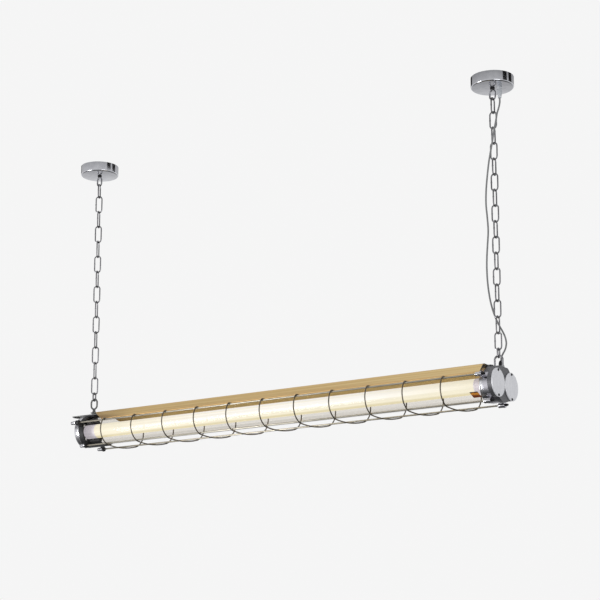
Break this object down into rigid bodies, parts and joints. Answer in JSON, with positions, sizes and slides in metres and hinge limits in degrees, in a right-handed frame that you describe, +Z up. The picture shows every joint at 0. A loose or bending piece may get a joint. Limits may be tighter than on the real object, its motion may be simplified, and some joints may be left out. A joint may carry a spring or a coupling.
{
  "type": "linear chandelier",
  "caption": "Linear tube pendant in clear glass with a folded brass reflector and wire guard, hung on two chains from ceiling roses.",
  "frame": {"origin": "on the ceiling plane, midway between the two ceiling brackets", "axes": "+X along the lamp towards the junction box, +Y away from the viewer of the picture, +Z up"},
  "size_m": [1.298, 0.132, 0.7777],
  "materials": {
    "zinc": "galvanised strip",
    "rose_chrome": "polished chrome plate",
    "chain_steel": "satin zinc-plated steel",
    "black_metal": "black oxide",
    "clear_nylon": "milky nylon",
    "terminal_plastic": "ivory plastic",
    "cord_textile": "braided textile",
    "dark_steel": "blackened steel",
    "reflector_brass": "brushed brass with lengthwise grain",
    "clear_glass": "clear borosilicate glass",
    "black_rubber": "matt rubber",
    "chrome_plate": "polished chrome plate",
    "dark_casting": "dark grey painted casting",
    "rod_steel": "drawn steel rod",
    "guard_steel": "dull steel wire",
    "cover_aluminium": "diagonally brushed aluminium",
    "black_plastic": "black nylon",
    "white_plastic": "white thermoset",
    "label_film": "plain amber film",
    "light_diffuser": "frosted diffuser, lit",
    "heat_sink": "white board on extruded heat sink",
    "cap_lavender": "satin lavender-grey aluminium",
    "pin_brass": "plain brass"
  },
  "bodies": {
    "ceiling": {"ceiling_brackets": "zinc", "bracket_posts": "zinc", "rose_left": "rose_chrome", "rose_right": "rose_chrome", "eye_bolt_left": "chain_steel", "eye_bolt_right": "chain_steel", "eye_nuts": "black_metal", "cord_grip": "clear_nylon", "cord_grip_nut": "clear_nylon", "ceiling_terminal": "terminal_plastic", "ceiling_lead": "cord_textile"},
    "right_hanger": {"top_link_right": "chain_steel", "cord_top": "cord_textile"},
    "right_chain": {"chain_right": "chain_steel", "cord_middle": "cord_textile"},
    "left_hanger": {"top_link_left": "chain_steel"},
    "left_chain": {"chain_left": "chain_steel", "quick_link_left": "chain_steel"},
    "lamp": {"quick_link_right": "chain_steel", "cord_lower": "cord_textile", "eye_nut_left": "dark_steel", "lifting_bow": "chain_steel", "bow_nuts": "zinc", "top_rail": "dark_steel", "rail_screws": "dark_steel", "reflector": "reflector_brass", "reflector_screws": "dark_steel", "glass_tube": "clear_glass", "glass_gaskets": "black_rubber", "end_cup": "chrome_plate", "end_flange": "dark_casting", "clamp_ring": "chrome_plate", "junction_box": "dark_casting", "tie_rods": "rod_steel", "rod_spacers": "chrome_plate", "cap_nuts_left": "chrome_plate", "cap_nuts_right": "black_metal", "guard_wires": "guard_steel", "cover_front": "cover_aluminium", "cover_rear": "cover_aluminium", "cover_gaskets": "black_rubber", "cover_screws": "black_metal", "gland_body": "dark_steel", "gland_cap": "black_plastic", "terminal_block": "terminal_plastic", "inner_leads": "cord_textile", "lampholder_left": "white_plastic", "lampholder_right": "white_plastic", "plain_label": "label_film"},
    "light": {"light_tube": "light_diffuser", "led_strip": "heat_sink", "tube_cap_left": "cap_lavender", "tube_cap_right": "cap_lavender", "contact_pins": "pin_brass"}
  },
  "joints": [
    {"name": "sideways_swing", "type": "hinge", "parent": "ceiling", "child": "right_hanger", "pos_m": [0.59, 0, -0.053], "axis": [1, 0, 0], "range_deg": [-15, 15], "deforming": ["cord_top"]},
    {"name": "lengthwise_swing", "type": "hinge", "parent": "right_hanger", "child": "right_chain", "pos_m": [0.59, 0, -0.0866], "axis": [0, 1, 0], "range_deg": [-12, 12], "deforming": ["cord_middle"]},
    {"name": "sideways_swing_left", "type": "hinge", "parent": "ceiling", "child": "left_hanger", "pos_m": [-0.59, 0, -0.053], "axis": [1, 0, 0], "range_deg": [-15, 15]},
    {"name": "lengthwise_swing_left", "type": "hinge", "parent": "left_hanger", "child": "left_chain", "pos_m": [-0.59, 0, -0.0866], "axis": [0, 1, 0], "range_deg": [-12, 12]},
    {"name": "lamp_levelling", "type": "hinge", "parent": "right_chain", "child": "lamp", "pos_m": [0.59, 0, -0.6432], "axis": [0, 1, 0], "range_deg": [-12, 12], "deforming": ["cord_lower"]},
    {"name": "tube_turn", "type": "hinge", "parent": "lamp", "child": "light", "pos_m": [0, 0, -0.725], "axis": [1, 0, 0], "range_deg": [0, 90]}
  ],
  "couplings": [
    {"joint": "sideways_swing_left", "follows": "sideways_swing", "ratio": 1},
    {"joint": "lengthwise_swing_left", "follows": "lengthwise_swing", "ratio": 1},
    {"joint": "lamp_levelling", "follows": "lengthwise_swing", "ratio": -1}
  ]
}
